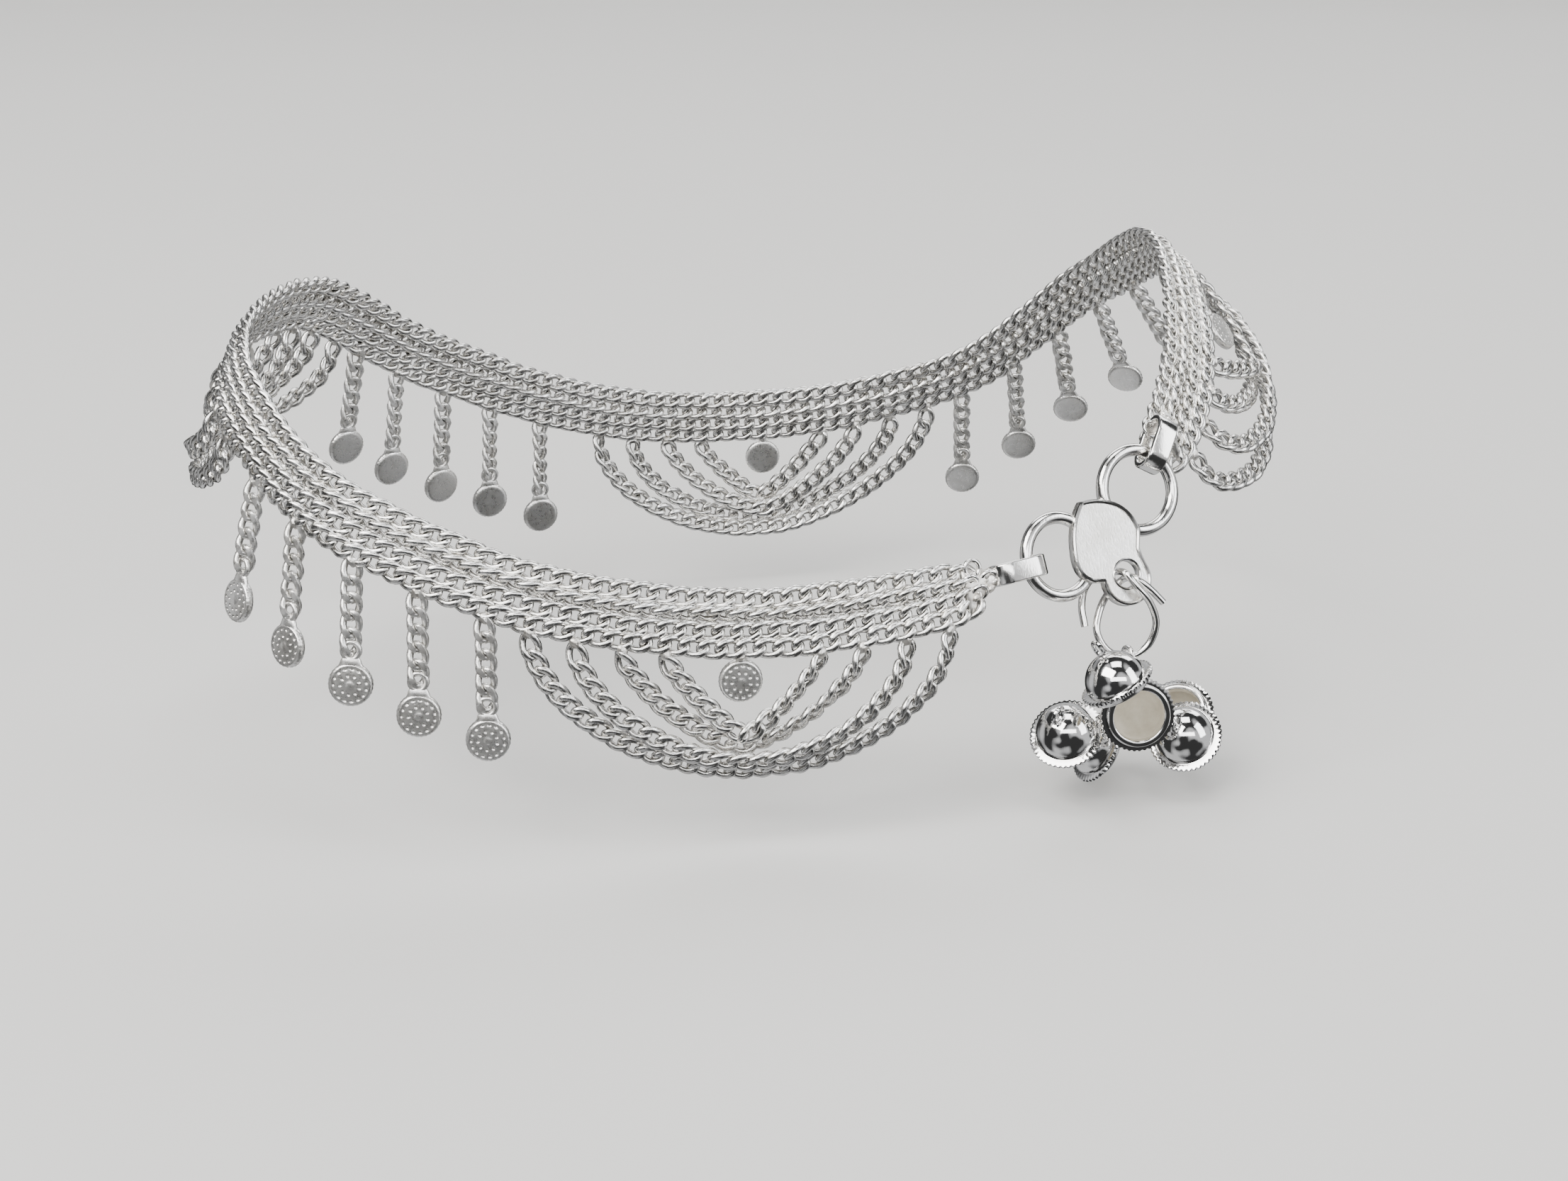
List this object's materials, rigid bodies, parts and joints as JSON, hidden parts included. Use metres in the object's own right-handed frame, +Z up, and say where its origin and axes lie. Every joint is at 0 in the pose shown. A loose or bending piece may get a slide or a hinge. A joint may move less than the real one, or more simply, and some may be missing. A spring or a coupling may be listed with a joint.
{
  "type": "payal anklet",
  "caption": "Worn anklet of curb chains with hanging chain swags, tassels with dimpled drops, an S-hook clasp and a swinging bunch of bells.",
  "frame": {"origin": "the mount where the ankle passes through: the middle of the ankle opening, halfway up the band's rise", "axes": "+Z up along the leg, +X towards the toes, -Y out of the outer side of the ankle where the clasp is"},
  "size_m": [0.0986, 0.0721, 0.042],
  "materials": {
    "chain_silver": "bright silver curb chain with cut facets",
    "drop_silver": "bright cast silver with dimples",
    "solder_silver": "rough silver solder over chain links",
    "clasp_silver": "polished silver with fine file marks on the plate",
    "wire_silver": "polished drawn silver wire",
    "bell_silver": "mirror-bright silver dome with a milled flange and a matte cream inside"
  },
  "bodies": {
    "anklet": {"strand_1": "chain_silver", "strand_2": "chain_silver", "strand_3": "chain_silver", "strand_4": "chain_silver", "swag_1_chain_1": "chain_silver", "swag_1_chain_2": "chain_silver", "swag_1_chain_3": "chain_silver", "swag_1_chain_4": "chain_silver", "swag_2_chain_1": "chain_silver", "swag_2_chain_2": "chain_silver", "swag_2_chain_3": "chain_silver", "swag_2_chain_4": "chain_silver", "swag_3_chain_1": "chain_silver", "swag_3_chain_2": "chain_silver", "swag_3_chain_3": "chain_silver", "swag_3_chain_4": "chain_silver", "swag_4_chain_1": "chain_silver", "swag_4_chain_2": "chain_silver", "swag_4_chain_3": "chain_silver", "swag_4_chain_4": "chain_silver", "tassel_1_1": "drop_silver", "tassel_1_2": "drop_silver", "tassel_1_3": "drop_silver", "tassel_1_4": "drop_silver", "tassel_1_5": "drop_silver", "tassel_2_1": "drop_silver", "tassel_2_2": "drop_silver", "tassel_2_3": "drop_silver", "tassel_2_4": "drop_silver", "tassel_2_5": "drop_silver", "tassel_3_1": "drop_silver", "tassel_3_2": "drop_silver", "tassel_3_3": "drop_silver", "tassel_3_4": "drop_silver", "tassel_3_5": "drop_silver", "disc_1": "drop_silver", "disc_2": "drop_silver", "disc_3": "drop_silver", "disc_4": "drop_silver", "end_near": "solder_silver", "end_far": "solder_silver", "clasp": "clasp_silver"},
    "bell_bunch": {"bell_ring": "wire_silver", "bell_link": "wire_silver", "bell_top": "bell_silver", "bell_middle": "bell_silver", "bell_left": "bell_silver", "bell_right": "bell_silver", "bell_back": "bell_silver", "bell_low": "bell_silver"}
  },
  "joints": [
    {"name": "bell_swing", "type": "hinge", "parent": "anklet", "child": "bell_bunch", "pos_m": [0.03483, -0.02094, -0.01006], "axis": [0.3508, -0.851, 0.3907], "range_deg": [-30, 30]}
  ]
}
